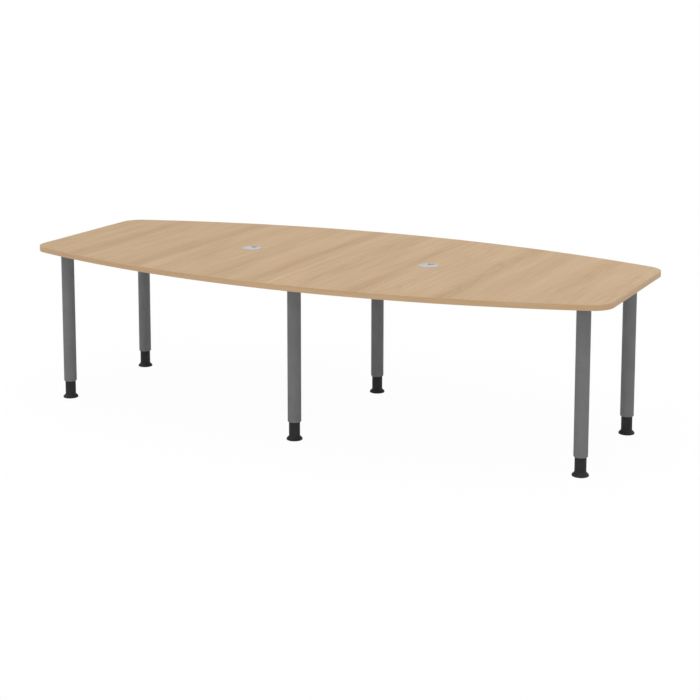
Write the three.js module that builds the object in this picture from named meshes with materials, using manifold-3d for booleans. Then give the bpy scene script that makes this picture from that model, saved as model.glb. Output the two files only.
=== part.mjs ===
// A boat-shaped conference table on six round legs whose feet slide to set the height.
// Its top is in two halves, with a round cable outlet in each.
// Millimetres, +Z up, +X along the table. The origin is on the floor under the middle of the top.
// Front is -Y and left is -X.
import * as THREE from "three";
import { mergeVertices } from "three/addons/utils/BufferGeometryUtils.js";
import Module from "manifold-3d";

const wasm = await Module();
wasm.setup();

// The top: two halves that meet at the middle, straight ends, each long side one shallow arc,
// rounded corners, and a band round the rim.
const LENGTH = 2800;
const MIDDLE_WIDTH = 1300;
const END_WIDTH = 800;
const CORNER_RADIUS = 100;
const TOP_THICKNESS = 25;
const HEIGHT = 740;
const EDGE_BAND = 2;
const JOINT_GAP = 0.3; // between the two halves

// Where the legs stand, in from the end and in from half the end's or the middle's width.
const LEG_END_INSET = 128;
const CORNER_LEG_INSET = 80;
const MIDDLE_LEG_INSET = 230;

// The leg tube. Its lower end is rolled in to a lip, and a round plate is welded on its upper end.
const TUBE_DIAMETER = 60;
const TUBE_WALL = 2;
const TUBE_LIP = 1.5;
const TUBE_ROUNDING = 3;
const PLATE_THICKNESS = 5;
const CORNER_SCREWS = 3; // to a plate of a corner leg
const MIDDLE_SCREWS = 4; // to a plate of a middle leg, two in each half of the top
const SCREW_OFFSET = 20; // tube's outside to the circle of screws
const PLATE_MARGIN = 15; // circle of screws to the plate's rim

// The pan-head screws that hold the plate to the top.
const SCREW_DIAMETER = 4.5;
const SCREW_POINT = 4;
const SCREW_COVER = 10; // panel left above the screw's point
const SCREW_HEAD_DIAMETER = 9;
const SCREW_HEAD_HEIGHT = 3;

// The bush in the tube's lower end that guides the foot, and the socket screw that clamps the foot.
const BUSH_WALL = 3;
const BUSH_LENGTH = 60;
const CLAMP_DIAMETER = 6;
const CLAMP_SOCKET = 3; // across flats
const CLAMP_SOCKET_DEPTH = 2.5;

// The foot: a flared base, a hollow neck, and a collar that guides its upper end in the tube.
const FOOT_DIAMETER = 71;
const FOOT_RIM = 5.5;
const FOOT_RIM_ROUNDING = 3;
const FOOT_EDGE_ROUNDING = 1.2;
const FLARE_HEIGHT = 16.5;
const FLARE_ROUNDING = 6;
const FOOT_WALL = 4;
const COLLAR_HEIGHT = 15;

// How far the feet slide from where they stand here, and the spare travel at either end.
const LOWERING = 60;
const RAISING = 20;
const STOP_GAP = 4.5;

// The cable outlets: a flanged sleeve, an insert on its ledge, and a lid that turns on the insert.
const OUTLET_SPACING = 900;
const OUTLET_HOLE = 80;
const FLANGE_OVERLAP = 5;
const FLANGE_THICKNESS = 2;
const FLANGE_ROUNDING = 1.2;
const SLEEVE_WALL = 2;
const SLEEVE_RECESS = 3; // sleeve's lower end above the underside of the top
const LEDGE_WIDTH = 2.4;
const INSERT_THICKNESS = 2;
const LID_THICKNESS = 3.5;
const LID_RECESS = 0.25; // lid's face below the flange's
const LID_ROUNDING = 0.6;
const PIN_DIAMETER = 8;
const PIN_HEIGHT = 1.75;
const MOUTH_WIDTH = 28;
const MOUTH_START = 7; // outlet's axis to the inner end of the mouth

// Clearances: between pieces that are fixed together, and between those that slide or turn.
const FIT_GAP = 0.2;
const SLIDE_GAP = 0.3;

// How finely round shapes are stepped.
const SIDE_STEPS = 24;
const CORNER_STEPS = 6;
const LEG_SIDES = 24;
const OUTLET_SIDES = 32;
const SCREW_SIDES = 8;
const MOUTH_STEPS = 8;
const FILLET_STEPS = 2;
const HEX_SIDES = 6;

// The largest share of a wall that a rounding takes, and how near points are one point.
const ROUNDING_SHARE = 0.9;
const MERGE_DISTANCE = 1e-4;

// Levels, from the floor up.
const UNDERSIDE = HEIGHT - TOP_THICKNESS;
const TUBE_TOP = UNDERSIDE - PLATE_THICKNESS;
const TUBE_END = FLARE_HEIGHT + LOWERING + STOP_GAP;
const BUSH_BOTTOM = TUBE_END + TUBE_WALL;
const BUSH_TOP = BUSH_BOTTOM + BUSH_LENGTH;
const CLAMP_LEVEL = (BUSH_BOTTOM + BUSH_TOP) / 2;
const COLLAR_BOTTOM = BUSH_TOP + RAISING + STOP_GAP;
const COLLAR_TOP = COLLAR_BOTTOM + COLLAR_HEIGHT;
const SCREW_TIP = HEIGHT - SCREW_COVER;
const FLANGE_TOP = HEIGHT + FLANGE_THICKNESS;
const LID_TOP = FLANGE_TOP - LID_RECESS;
const LID_BOTTOM = LID_TOP - LID_THICKNESS;
const LEDGE = LID_BOTTOM - INSERT_THICKNESS;
const SLEEVE_BOTTOM = UNDERSIDE + SLEEVE_RECESS;

// Radii, from the tube's outside in to the neck, and from the outlet's hole in to its bore.
const TUBE_RADIUS = TUBE_DIAMETER / 2;
const TUBE_BORE = TUBE_RADIUS - TUBE_WALL;
const BUSH_RADIUS = TUBE_BORE - FIT_GAP;
const BUSH_BORE = BUSH_RADIUS - BUSH_WALL;
const NECK_RADIUS = BUSH_BORE - SLIDE_GAP;
const COLLAR_RADIUS = TUBE_BORE - SLIDE_GAP;
const SCREW_CIRCLE = TUBE_RADIUS + SCREW_OFFSET;
const PLATE_RADIUS = SCREW_CIRCLE + PLATE_MARGIN;
const SLEEVE_RADIUS = OUTLET_HOLE / 2 - FIT_GAP;
const SEAT_RADIUS = SLEEVE_RADIUS - SLEEVE_WALL;
const LID_RADIUS = SEAT_RADIUS - SLIDE_GAP;
const FLANGE_RADIUS = OUTLET_HOLE / 2 + FLANGE_OVERLAP;

const finish = (color, roughness, metalness) =>
  new THREE.MeshStandardMaterial({ color, roughness, metalness });
const oakDecor = finish(0xc8af8f, 0.5, 0);
const oakEdging = finish(0xc9a97f, 0.45, 0);
const greyPaint = finish(0x686868, 0.5, 0.2);
const blackPlastic = finish(0x2b2b2b, 0.55, 0);
const silverPlastic = finish(0xc3c0c0, 0.4, 0.1);
const darkPlastic = finish(0x3a3a3a, 0.6, 0);
const zincSteel = finish(0xb4b6b8, 0.35, 1);

// A closed geometry as a solid that can be cut, and a cut solid as a geometry again.
function solidOf(geometry) {
  const bare = new THREE.BufferGeometry();
  bare.setAttribute("position", geometry.getAttribute("position"));
  bare.setIndex(geometry.index);
  const merged = mergeVertices(bare, MERGE_DISTANCE);
  return new wasm.Manifold(
    new wasm.Mesh({
      numProp: 3,
      vertProperties: new Float32Array(merged.getAttribute("position").array),
      triVerts: new Uint32Array(merged.index.array),
    }),
  );
}

function cut(geometry, ...cutters) {
  const solid = cutters.reduce((left, cutter) => left.subtract(solidOf(cutter)), solidOf(geometry));
  const { vertProperties, triVerts } = solid.getMesh();
  const result = new THREE.BufferGeometry();
  result.setAttribute("position", new THREE.BufferAttribute(vertProperties, 3));
  result.setIndex(new THREE.BufferAttribute(triVerts, 1));
  result.computeVertexNormals();
  return result;
}

// The corner at one point of a profile, as an arc of the given radius.
function roundedCorner(before, corner, after, radius) {
  const back = before.clone().sub(corner).normalize();
  const on = after.clone().sub(corner).normalize();
  const half = back.angleTo(on) / 2;
  const start = back.clone().multiplyScalar(radius / Math.tan(half)).add(corner);
  const middle = back.clone().add(on).setLength(radius / Math.sin(half)).add(corner);
  const turn = Math.sign(back.cross(on)) * (2 * half - Math.PI);
  return Array.from({ length: FILLET_STEPS + 1 }, (_, step) =>
    start.clone().rotateAround(middle, (turn * step) / FILLET_STEPS),
  );
}

// A piece turned about the Z axis from [radius, level, rounding] corners, counter-clockwise.
// The profile starts and ends on the axis, or closes on itself.
function turned(corners, sides) {
  const places = corners.map(([radius, level]) => new THREE.Vector2(radius, level));
  const profile = corners.flatMap(([, , rounding], i) =>
    rounding
      ? roundedCorner(places.at(i - 1), places[i], places[(i + 1) % places.length], rounding)
      : [places[i]],
  );
  const onAxis = places[0].x === 0;
  return new THREE.LatheGeometry(onAxis ? profile : [...profile, profile[0]], sides).rotateX(Math.PI / 2);
}

// A round bar along Z.
function bar(radius, bottom, top, sides) {
  const length = top - bottom;
  const geometry = new THREE.CylinderGeometry(radius, radius, length, sides);
  return geometry.rotateX(Math.PI / 2).translate(0, 0, bottom + length / 2);
}

// A flat outline, from one level up to another.
function slab(shape, bottom, top) {
  const geometry = new THREE.ExtrudeGeometry(shape, { depth: top - bottom, bevelEnabled: false });
  return geometry.translate(0, 0, bottom);
}

// The places of a leg's screws, evenly round it and alike on its left and its right.
function screwPlaces(count) {
  return Array.from({ length: count }, (_, i) => {
    const angle = (Math.PI * (2 * i + 1)) / count - Math.PI / 2;
    return [SCREW_CIRCLE * Math.cos(angle), SCREW_CIRCLE * Math.sin(angle)];
  });
}

// The six legs: a pair at the left end, under the joint at the middle, and at the right end.
const endLegX = LENGTH / 2 - LEG_END_INSET;
const cornerLegY = END_WIDTH / 2 - CORNER_LEG_INSET;
const middleLegY = MIDDLE_WIDTH / 2 - MIDDLE_LEG_INSET;
const legPlaces = [
  ["left", -endLegX, cornerLegY, screwPlaces(CORNER_SCREWS)],
  ["middle", 0, middleLegY, screwPlaces(MIDDLE_SCREWS)],
  ["right", endLegX, cornerLegY, screwPlaces(CORNER_SCREWS)],
].flatMap(([place, x, y, screws]) => [
  { name: `front_${place}`, x, y: -y, screws },
  { name: `back_${place}`, x, y, screws },
]);

// The two halves of the top, each with an outlet.
const halves = [
  { name: "left", side: -1, outletX: -OUTLET_SPACING / 2 },
  { name: "right", side: 1, outletX: OUTLET_SPACING / 2 },
];

// The outline of the top, drawn in by an inset. Each side's arc passes through the ends' corners, were they
// square, and through the full width at the middle. The corner arcs touch it and the straight end.
function topOutline(inset) {
  const rise = (MIDDLE_WIDTH - END_WIDTH) / 2;
  const sideRadius = (LENGTH * LENGTH) / 8 / rise + rise / 2;
  const sideY = MIDDLE_WIDTH / 2 - sideRadius;
  const cornerX = LENGTH / 2 - CORNER_RADIUS;
  const cornerY = sideY + Math.sqrt((sideRadius - CORNER_RADIUS) ** 2 - cornerX ** 2);
  const turn = Math.atan2(cornerY - sideY, cornerX);
  const arc = (x, y, radius, from, to, steps) =>
    new THREE.EllipseCurve(x, y, radius - inset, radius - inset, from, to).getPoints(steps);
  const backHalf = [
    ...arc(cornerX, cornerY, CORNER_RADIUS, 0, turn, CORNER_STEPS),
    ...arc(0, sideY, sideRadius, turn, Math.PI - turn, SIDE_STEPS).slice(1, -1),
    ...arc(-cornerX, cornerY, CORNER_RADIUS, Math.PI - turn, Math.PI, CORNER_STEPS),
  ];
  const frontHalf = backHalf.map((point) => point.clone().negate());
  return [...backHalf, ...frontHalf];
}

// The half of the whole top, or of the whole band, on one side of the joint.
function halfOf(geometry, side) {
  const otherHalf = new THREE.BoxGeometry(LENGTH, 2 * MIDDLE_WIDTH, 2 * TOP_THICKNESS);
  otherHalf.translate((side * (JOINT_GAP - LENGTH)) / 2, 0, (UNDERSIDE + HEIGHT) / 2);
  return cut(geometry, otherHalf);
}

function wholeTop() {
  const panel = slab(new THREE.Shape(topOutline(EDGE_BAND)), UNDERSIDE, HEIGHT);
  const below = UNDERSIDE - TOP_THICKNESS;
  const above = HEIGHT + TOP_THICKNESS;
  const outletHoles = halves.map(({ outletX }) =>
    bar(OUTLET_HOLE / 2, below, above, OUTLET_SIDES).translate(outletX, 0, 0),
  );
  const pilotRadius = SCREW_DIAMETER / 2 + FIT_GAP;
  const pilotHoles = legPlaces.flatMap((leg) =>
    leg.screws.map(([x, y]) =>
      bar(pilotRadius, below, SCREW_TIP + FIT_GAP, SCREW_SIDES).translate(leg.x + x, leg.y + y, 0),
    ),
  );
  return cut(panel, ...outletHoles, ...pilotHoles);
}

function wholeBand() {
  const ring = new THREE.Shape(topOutline(0));
  ring.holes.push(new THREE.Path(topOutline(EDGE_BAND)));
  return slab(ring, UNDERSIDE, HEIGHT);
}

function mountingPlate(screws) {
  const holes = screws.map(([x, y]) =>
    bar(SCREW_DIAMETER / 2 + FIT_GAP, TUBE_TOP - PLATE_THICKNESS, HEIGHT, SCREW_SIDES).translate(x, y, 0),
  );
  return cut(bar(PLATE_RADIUS, TUBE_TOP, UNDERSIDE, LEG_SIDES), ...holes);
}

function plateScrew() {
  const shank = SCREW_DIAMETER / 2;
  const head = SCREW_HEAD_DIAMETER / 2;
  const headBottom = TUBE_TOP - SCREW_HEAD_HEIGHT;
  return turned(
    [
      [0, headBottom],
      [head, headBottom],
      [head, TUBE_TOP],
      [shank, TUBE_TOP],
      [shank, SCREW_TIP - SCREW_POINT],
      [0, SCREW_TIP],
    ],
    SCREW_SIDES,
  );
}

// The hole for the clamp screw, on the leg's back side.
function clampHole() {
  const hole = bar(CLAMP_DIAMETER / 2 + FIT_GAP, 0, TUBE_DIAMETER, SCREW_SIDES);
  return hole.rotateX(-Math.PI / 2).translate(0, 0, CLAMP_LEVEL);
}

function legTube() {
  const lipBore = TUBE_BORE - TUBE_LIP;
  const rounding = Math.min(TUBE_ROUNDING, ROUNDING_SHARE * (TUBE_WALL + TUBE_LIP));
  const tube = turned(
    [
      [TUBE_RADIUS, TUBE_END, rounding],
      [TUBE_RADIUS, TUBE_TOP],
      [TUBE_BORE, TUBE_TOP],
      [TUBE_BORE, BUSH_BOTTOM],
      [lipBore, BUSH_BOTTOM],
      [lipBore, TUBE_END],
    ],
    LEG_SIDES,
  );
  return cut(tube, clampHole());
}

function guideBush() {
  const bush = turned(
    [
      [BUSH_RADIUS, BUSH_BOTTOM],
      [BUSH_RADIUS, BUSH_TOP],
      [BUSH_BORE, BUSH_TOP],
      [BUSH_BORE, BUSH_BOTTOM],
    ],
    LEG_SIDES,
  );
  return cut(bush, clampHole());
}

// The clamp screw ends just inside the tube's face and just short of the neck.
function clampScrew() {
  const tip = NECK_RADIUS + SLIDE_GAP;
  const end = TUBE_RADIUS - FIT_GAP;
  const socket = bar(CLAMP_SOCKET / Math.sqrt(3), end - CLAMP_SOCKET_DEPTH, TUBE_DIAMETER, HEX_SIDES);
  const screw = cut(bar(CLAMP_DIAMETER / 2, tip, end, SCREW_SIDES), socket);
  return screw.rotateX(-Math.PI / 2).translate(0, 0, CLAMP_LEVEL);
}

function foot() {
  const rim = FOOT_DIAMETER / 2;
  const hollow = NECK_RADIUS - FOOT_WALL;
  return turned(
    [
      [0, 0],
      [rim, 0, FOOT_EDGE_ROUNDING],
      [rim, FOOT_RIM, FOOT_RIM_ROUNDING],
      [NECK_RADIUS, FLARE_HEIGHT, FLARE_ROUNDING],
      [NECK_RADIUS, COLLAR_BOTTOM],
      [COLLAR_RADIUS, COLLAR_BOTTOM],
      [COLLAR_RADIUS, COLLAR_TOP],
      [hollow, COLLAR_TOP],
      [hollow, FLARE_HEIGHT],
      [0, FLARE_HEIGHT],
    ],
    LEG_SIDES,
  );
}

function outletSleeve() {
  const bore = SEAT_RADIUS - LEDGE_WIDTH;
  return turned(
    [
      [SLEEVE_RADIUS, SLEEVE_BOTTOM],
      [SLEEVE_RADIUS, HEIGHT],
      [FLANGE_RADIUS, HEIGHT],
      [FLANGE_RADIUS, FLANGE_TOP, Math.min(FLANGE_ROUNDING, ROUNDING_SHARE * FLANGE_THICKNESS)],
      [SEAT_RADIUS, FLANGE_TOP],
      [SEAT_RADIUS, LEDGE],
      [bore, LEDGE],
      [bore, SLEEVE_BOTTOM],
    ],
    OUTLET_SIDES,
  );
}

// The mouth for cables: a slot with a half-round inner end, open at the rim towards the back.
function mouth() {
  const half = MOUTH_WIDTH / 2;
  const centre = MOUTH_START + half;
  const shape = new THREE.Shape([
    new THREE.Vector2(half, FLANGE_RADIUS),
    new THREE.Vector2(-half, FLANGE_RADIUS),
    ...new THREE.EllipseCurve(0, centre, half, half, Math.PI, 2 * Math.PI).getPoints(MOUTH_STEPS),
  ]);
  return slab(shape, UNDERSIDE, FLANGE_TOP + FLANGE_THICKNESS);
}

function outletInsert() {
  const pin = PIN_DIAMETER / 2;
  const plate = turned(
    [
      [0, LEDGE],
      [LID_RADIUS, LEDGE],
      [LID_RADIUS, LID_BOTTOM],
      [pin, LID_BOTTOM],
      [pin, LID_BOTTOM + PIN_HEIGHT],
      [0, LID_BOTTOM + PIN_HEIGHT],
    ],
    OUTLET_SIDES,
  );
  return cut(plate, mouth());
}

function outletLid() {
  const pinBore = PIN_DIAMETER / 2 + SLIDE_GAP;
  const pinCeiling = LID_BOTTOM + PIN_HEIGHT + SLIDE_GAP;
  const disc = turned(
    [
      [0, pinCeiling],
      [pinBore, pinCeiling],
      [pinBore, LID_BOTTOM],
      [LID_RADIUS, LID_BOTTOM],
      [LID_RADIUS, LID_TOP, LID_ROUNDING],
      [0, LID_TOP],
    ],
    OUTLET_SIDES,
  );
  return cut(disc, mouth());
}

const table = new THREE.Group();

function place(name, geometry, material, group = table, x = 0, y = 0) {
  const mesh = new THREE.Mesh(geometry, material);
  mesh.name = name;
  mesh.position.set(x, y, 0);
  group.add(mesh);
}

const topShape = wholeTop();
const bandShape = wholeBand();
const sleeveShape = outletSleeve();
const insertShape = outletInsert();
const lidShape = outletLid();
for (const { name, side, outletX } of halves) {
  place(`table_top_${name}`, halfOf(topShape, side), oakDecor);
  place(`edge_band_${name}`, halfOf(bandShape, side), oakEdging);
  const outlet = new THREE.Group();
  outlet.position.set(outletX, 0, 0);
  table.add(outlet);
  place(`outlet_sleeve_${name}`, sleeveShape, silverPlastic, outlet);
  place(`outlet_insert_${name}`, insertShape, silverPlastic, outlet);
  place(`outlet_lid_${name}`, lidShape, silverPlastic, outlet);
}

const tubeShape = legTube();
const bushShape = guideBush();
const clampShape = clampScrew();
const footShape = foot();
const screwShape = plateScrew();
for (const { name, x, y, screws } of legPlaces) {
  const leg = new THREE.Group();
  leg.position.set(x, y, 0);
  table.add(leg);
  place(`mounting_plate_${name}`, mountingPlate(screws), greyPaint, leg);
  place(`leg_tube_${name}`, tubeShape, greyPaint, leg);
  place(`guide_bush_${name}`, bushShape, darkPlastic, leg);
  place(`clamp_screw_${name}`, clampShape, zincSteel, leg);
  place(`foot_${name}`, footShape, blackPlastic, leg);
  screws.forEach(([screwX, screwY], i) =>
    place(`plate_screw_${name}_${i + 1}`, screwShape, zincSteel, leg, screwX, screwY),
  );
}

export default table;
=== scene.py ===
# %% [markdown]
# # A boat-shaped conference table
#
# The table has an oak-faced top in two halves, with bowed long sides and a round cable outlet in each half,
# and six round grey legs on black feet that slide to set its height. Its solids are already packed, so this
# lesson dresses them. Each solid gets a finer mesh with real roundings and a finish, and rides on the body
# that moves it.

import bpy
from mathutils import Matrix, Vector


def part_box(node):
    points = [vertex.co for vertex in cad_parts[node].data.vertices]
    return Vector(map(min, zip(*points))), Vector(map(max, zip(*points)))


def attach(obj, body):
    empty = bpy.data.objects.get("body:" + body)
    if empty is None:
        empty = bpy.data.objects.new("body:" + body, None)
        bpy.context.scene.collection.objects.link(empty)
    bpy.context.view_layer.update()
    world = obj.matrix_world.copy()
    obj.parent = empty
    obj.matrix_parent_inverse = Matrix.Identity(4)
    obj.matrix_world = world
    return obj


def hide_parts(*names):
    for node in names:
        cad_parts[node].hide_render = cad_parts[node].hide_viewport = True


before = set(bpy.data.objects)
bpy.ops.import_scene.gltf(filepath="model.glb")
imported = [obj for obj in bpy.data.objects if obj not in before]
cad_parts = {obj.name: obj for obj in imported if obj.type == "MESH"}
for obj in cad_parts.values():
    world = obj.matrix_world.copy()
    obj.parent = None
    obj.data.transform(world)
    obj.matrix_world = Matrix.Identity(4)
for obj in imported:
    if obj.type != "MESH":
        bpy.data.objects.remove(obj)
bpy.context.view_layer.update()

# %% Tools for the lesson
import math

import bmesh
import bpy
from mathutils import Matrix

MM = 0.001
scene = bpy.context.scene
scene.view_settings.view_transform = "Standard"

# %% [markdown]
# ## The camera
#
# The picture is taken from the right front corner, a little over two metres up, with a long lens. The legs
# stay nearly parallel in it, which a lens shift gives: the camera tips down only part of the way, and the
# shift brings the table into the frame. A camera that tips all the way would make the legs lean together.

# %% Camera
PICTURE_WIDTH = 700
FOCAL_LENGTH_PIXELS = 1610.9
SENSOR_WIDTH = 36
CAMERA_PLACE = (3.256, -6.4164, 2.1605)
CAMERA_TIP = 0.1443
CAMERA_TURN = 0.4698
LENS_SHIFT = (0.0177, -0.25)

camera_lens = bpy.data.cameras.new("camera")
camera_lens.sensor_width = SENSOR_WIDTH
camera_lens.lens = FOCAL_LENGTH_PIXELS * SENSOR_WIDTH / PICTURE_WIDTH
camera_lens.shift_x, camera_lens.shift_y = LENS_SHIFT
camera = bpy.data.objects.new("camera", camera_lens)
camera.location = CAMERA_PLACE
camera.rotation_euler = (math.pi / 2 - CAMERA_TIP, 0, CAMERA_TURN)
scene.collection.objects.link(camera)
scene.camera = camera
print("lens:", round(camera_lens.lens, 1), "mm")

# %% [markdown]
# ## Nodes in code
#
# Every finish here is a small network of shader nodes. One helper adds a node, sets its options, and either
# links or fills its inputs, so each network reads from top to bottom. Colours are written as a screen shows
# them, from 0 to 255, and turned into the linear values that the renderer works with.

# %% Node helpers
def add(tree, kind, inputs=None, **options):
    """A new shader node. Each input is linked if it is given a socket, and set if it is given a value."""
    made = tree.nodes.new("ShaderNode" + kind)
    for option, value in options.items():
        setattr(made, option, value)
    for socket, value in (inputs or {}).items():
        if isinstance(value, bpy.types.NodeSocket):
            tree.links.new(value, made.inputs[socket])
        else:
            made.inputs[socket].default_value = value
    return made


def screen(red, green, blue):
    """A screen colour as a linear one with an alpha of 1."""
    shares = (red / 255, green / 255, blue / 255)
    return (*(s / 12.92 if s <= 0.04045 else ((s + 0.055) / 1.055) ** 2.4 for s in shares), 1)


def calculate(tree, operation, *values):
    """The result of a Math node."""
    return add(tree, "Math", dict(enumerate(values)), operation=operation).outputs[0]


def remap(tree, value, low, high, to_low, to_high):
    """A value moved from one range to another, and held inside it."""
    ranges = {"Value": value, "From Min": low, "From Max": high, "To Min": to_low, "To Max": to_high}
    return add(tree, "MapRange", ranges).outputs["Result"]


def mix_colours(tree, share, first, second):
    """A colour between two others."""
    return add(tree, "Mix", {0: share, 6: first, 7: second}, data_type="RGBA").outputs[2]


def grain_noise(tree, place, stretch, detail=2.0):
    """Noise whose features per metre differ along X, Y and Z."""
    stretched = add(tree, "VectorMath", {0: place, 1: stretch}, operation="MULTIPLY").outputs["Vector"]
    return add(tree, "TexNoise", {"Vector": stretched, "Scale": 1.0, "Detail": detail}).outputs["Fac"]


def new_group(name, inputs, outputs):
    """An empty node group with named sockets, and its two end nodes."""
    tree = bpy.data.node_groups.new(name, "ShaderNodeTree")
    for socket, kind in inputs.items():
        tree.interface.new_socket(socket, in_out="INPUT", socket_type="NodeSocket" + kind)
    for socket in outputs:
        tree.interface.new_socket(socket, in_out="OUTPUT", socket_type="NodeSocketFloat")
    return tree, tree.nodes.new("NodeGroupInput"), tree.nodes.new("NodeGroupOutput")


print("white is", screen(255, 255, 255)[0])

# %% [markdown]
# ## Light
#
# A studio with white walls lights the table from all around, so the sky here is an even white. Rays from the
# camera, and those that gloss and glass send, see it at full strength, and the light on the table itself is
# weaker, so that colours come out as they are written. Three wide suns, which cast hardly any edge, shape
# it: one overhead makes the top the brightest face, one in front lights the long side that faces the camera,
# and a weaker one on the right keeps the end of the table from going dull.

# %% Sky and suns
SKY_LIGHT = 0.41
SUNS = {
    "overhead": {"strength": 1.32, "height": 85, "bearing": 180, "width": 70},
    "front": {"strength": 0.82, "height": 25, "bearing": 185, "width": 80},
    "right": {"strength": 0.40, "height": 25, "bearing": 90, "width": 80},
}


def seen_directly(tree):
    """1 for rays from the camera, gloss and glass, and 0 for the rays that carry light to a surface."""
    rays = add(tree, "LightPath").outputs
    shiny = calculate(tree, "MAXIMUM", rays["Is Glossy Ray"], rays["Is Transmission Ray"])
    return calculate(tree, "MAXIMUM", rays["Is Camera Ray"], shiny)


world = bpy.data.worlds.new("white_studio")
world.use_nodes = True
sky = world.node_tree
seen_sky = seen_directly(sky)
sky.nodes["Background"].inputs["Color"].default_value = (1, 1, 1, 1)
sky_strength = calculate(sky, "MULTIPLY_ADD", seen_sky, 1 - SKY_LIGHT, SKY_LIGHT)
sky.links.new(sky_strength, sky.nodes["Background"].inputs["Strength"])
scene.world = world

for name, sun in SUNS.items():
    lamp = bpy.data.lights.new(name, "SUN")
    lamp.energy = sun["strength"]
    lamp.angle = math.radians(sun["width"])
    holder = bpy.data.objects.new(name, lamp)
    holder.rotation_euler = (math.radians(90 - sun["height"]), 0, math.radians(180 - sun["bearing"]))
    scene.collection.objects.link(holder)
print("suns:", ", ".join(SUNS))

# %% [markdown]
# ## The floor
#
# The floor is a plain white sheet that runs to the horizon. To the light it is a solid surface. To the
# camera it is nearly clear, so the white sky shows through it and it has no edge, and a foot that is let down
# past the place of the floor stays in sight. The rest is lit, and keeps a trace of the table's shadow.

# %% Floor
FLOOR_REACH = 60
FLOOR_DROP = 0.0004
FLOOR_CLEAR = 0.96
FLOOR_COLOUR = screen(250, 250, 250)

floor_finish = bpy.data.materials.new("white_floor")
floor_finish.use_nodes = True
floor_tree = floor_finish.node_tree
floor_tree.nodes.clear()
lit_floor = add(floor_tree, "BsdfDiffuse", {"Color": FLOOR_COLOUR})
clear_floor = add(floor_tree, "BsdfTransparent", {"Color": (1, 1, 1, 1)})
clear_share = calculate(floor_tree, "MULTIPLY", seen_directly(floor_tree), FLOOR_CLEAR)
floor_parts = {0: clear_share, 1: lit_floor.outputs[0], 2: clear_floor.outputs[0]}
floor_mix = add(floor_tree, "MixShader", floor_parts)
add(floor_tree, "OutputMaterial", {"Surface": floor_mix.outputs[0]})

floor_bm = bmesh.new()
bmesh.ops.create_grid(floor_bm, x_segments=1, y_segments=1, size=FLOOR_REACH)
bmesh.ops.translate(floor_bm, vec=(0, 0, -FLOOR_DROP), verts=floor_bm.verts)
floor_mesh = bpy.data.meshes.new("floor")
floor_bm.to_mesh(floor_mesh)
floor_bm.free()
floor_mesh.materials.append(floor_finish)
floor = bpy.data.objects.new("floor", floor_mesh)
scene.collection.objects.link(floor)
print("floor:", 2 * FLOOR_REACH, "m across")

# %% [markdown]
# ## Shared effect: surface texture
#
# Paint and moulded plastic are never quite smooth: paint dries with a skin like orange peel, and a mould
# leaves a fine stipple. Both are small noise, so one group makes them. It puts out a height for the bumps,
# and a slow mottle that varies colour and gloss, as handling and uneven cooling do.

# %% Surface texture group
SKIN_DETAIL = 3.0
MOTTLE_DETAIL = 4.0
MOTTLE_SPREAD = 0.03
MOTTLE_RANGE = (0.3, 0.7)

texture_tree, texture_in, texture_out = new_group(
    "surface_texture", {"Place": "Vector", "Fineness": "Float"}, ["Height", "Mottle"]
)
texture_place = texture_in.outputs["Place"]
fineness = texture_in.outputs["Fineness"]
skin = add(texture_tree, "TexNoise", {"Vector": texture_place, "Scale": fineness, "Detail": SKIN_DETAIL})
slow_scale = calculate(texture_tree, "MULTIPLY", fineness, MOTTLE_SPREAD)
slow = add(texture_tree, "TexNoise", {"Vector": texture_place, "Scale": slow_scale, "Detail": MOTTLE_DETAIL})
texture_tree.links.new(skin.outputs["Fac"], texture_out.inputs["Height"])
mottle = remap(texture_tree, slow.outputs["Fac"], *MOTTLE_RANGE, 0.0, 1.0)
texture_tree.links.new(mottle, texture_out.inputs["Mottle"])
print("group:", texture_tree.name)

# %% [markdown]
# ## Shared effect: rubbed edges
#
# Hands, chairs and brooms rub the edges of a table first. A wear mask could come from the curvature of the
# mesh, but that changes with the number of faces. Here each rounding is marked in the mesh as it is made,
# with an attribute called rubbed, and this group breaks the mark up with noise so that it looks uneven.

# %% Rubbed edges group
SPOT_SCALE = 90.0
SPOT_DETAIL = 4.0
SPOT_RANGE = (0.35, 0.65)
RUBBED_SHARES = (0.25, 1.0)

rub_tree, rub_in, rub_out = new_group(
    "rubbed_edges", {"Place": "Vector", "Edge": "Float", "Amount": "Float"}, ["Mask"]
)
spot_inputs = {"Vector": rub_in.outputs["Place"], "Scale": SPOT_SCALE, "Detail": SPOT_DETAIL}
spots = add(rub_tree, "TexNoise", spot_inputs).outputs["Fac"]
patchy = remap(rub_tree, spots, *SPOT_RANGE, *RUBBED_SHARES)
on_edge = calculate(rub_tree, "MULTIPLY", rub_in.outputs["Edge"], patchy)
rub_mask = calculate(rub_tree, "MULTIPLY", on_edge, rub_in.outputs["Amount"])
rub_tree.links.new(rub_mask, rub_out.inputs["Mask"])
print("group:", rub_tree.name)

# %% [markdown]
# ## Shared effect: oak
#
# The top and its edging show straight-grained oak. Straight grain is noise that is stretched along the
# board: broad bands, finer streaks, fibres and short dark pores are the same noise at four scales. The group
# takes a place whose Y runs along the grain, so the edging can use it with its own direction.

# %% Oak grain group
WANDER = 0.012
WANDER_STRETCH = (0.7, 0.9, 0.7)
BAND_STRETCH = (11.0, 1.6, 11.0)
STREAK_STRETCH = (60.0, 2.2, 60.0)
FIBRE_STRETCH = (260.0, 7.0, 260.0)
PORE_STRETCH = (1300.0, 42.0, 1300.0)
PORE_RANGE = (0.58, 0.7)
PORE_DEPTH = 0.6
STREAK_SHARE = 0.55
FIBRE_SHARE = 0.45

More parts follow.
